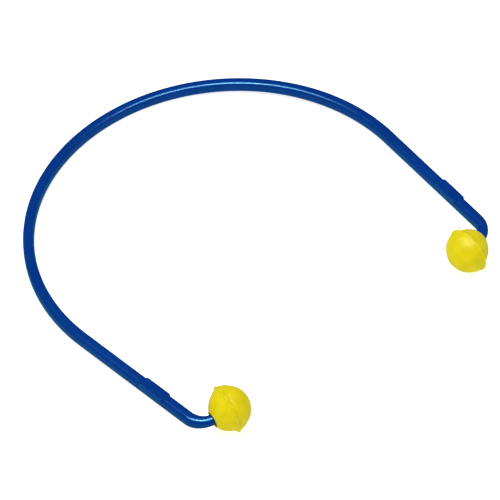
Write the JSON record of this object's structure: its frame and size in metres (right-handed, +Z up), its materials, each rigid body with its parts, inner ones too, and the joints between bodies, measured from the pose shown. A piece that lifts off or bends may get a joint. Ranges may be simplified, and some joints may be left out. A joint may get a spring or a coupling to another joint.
{
  "type": "banded foam ear plugs",
  "caption": "U-shaped springy plastic band with softly squared section, inward-bent ends and a round foam ear pod pushed on each end.",
  "frame": {"origin": "middle of the underside of the whole object's box, on the surface that the crown and the two pods lie on", "axes": "+Z up from that surface; +X towards the right arm, so the part mirrors across X = 0; +Y from the pods towards the crown"},
  "size_m": [0.154, 0.1554, 0.0181],
  "materials": {
    "band_plastic": "gloss",
    "pod_foam": "matte"
  },
  "bodies": {
    "crown": {"band_crown": "band_plastic"},
    "left_arm": {"band_left_arm": "band_plastic"},
    "right_arm": {"band_right_arm": "band_plastic"},
    "left_pod": {"left_pod": "pod_foam"},
    "right_pod": {"right_pod": "pod_foam"}
  },
  "joints": [
    {"name": "left_arm_flex", "type": "hinge", "parent": "crown", "child": "left_arm", "pos_m": [-0.05115, 0.05555, 0.00309], "axis": [0, -0.038, -0.9993], "range_deg": [-6, 15], "stiffness_Nm_per_rad": 1.2},
    {"name": "right_arm_flex", "type": "hinge", "parent": "crown", "child": "right_arm", "pos_m": [0.05115, 0.05555, 0.00309], "axis": [0, 0.038, 0.9993], "range_deg": [-6, 15], "stiffness_Nm_per_rad": 1.2},
    {"name": "left_pod_pull_off", "type": "slide", "parent": "left_arm", "child": "left_pod", "axis": [0.9789, -0.1735, 0.1079], "range_m": [0, 0.012]},
    {"name": "right_pod_pull_off", "type": "slide", "parent": "right_arm", "child": "right_pod", "axis": [-0.9789, -0.1735, 0.1079], "range_m": [0, 0.012]}
  ]
}
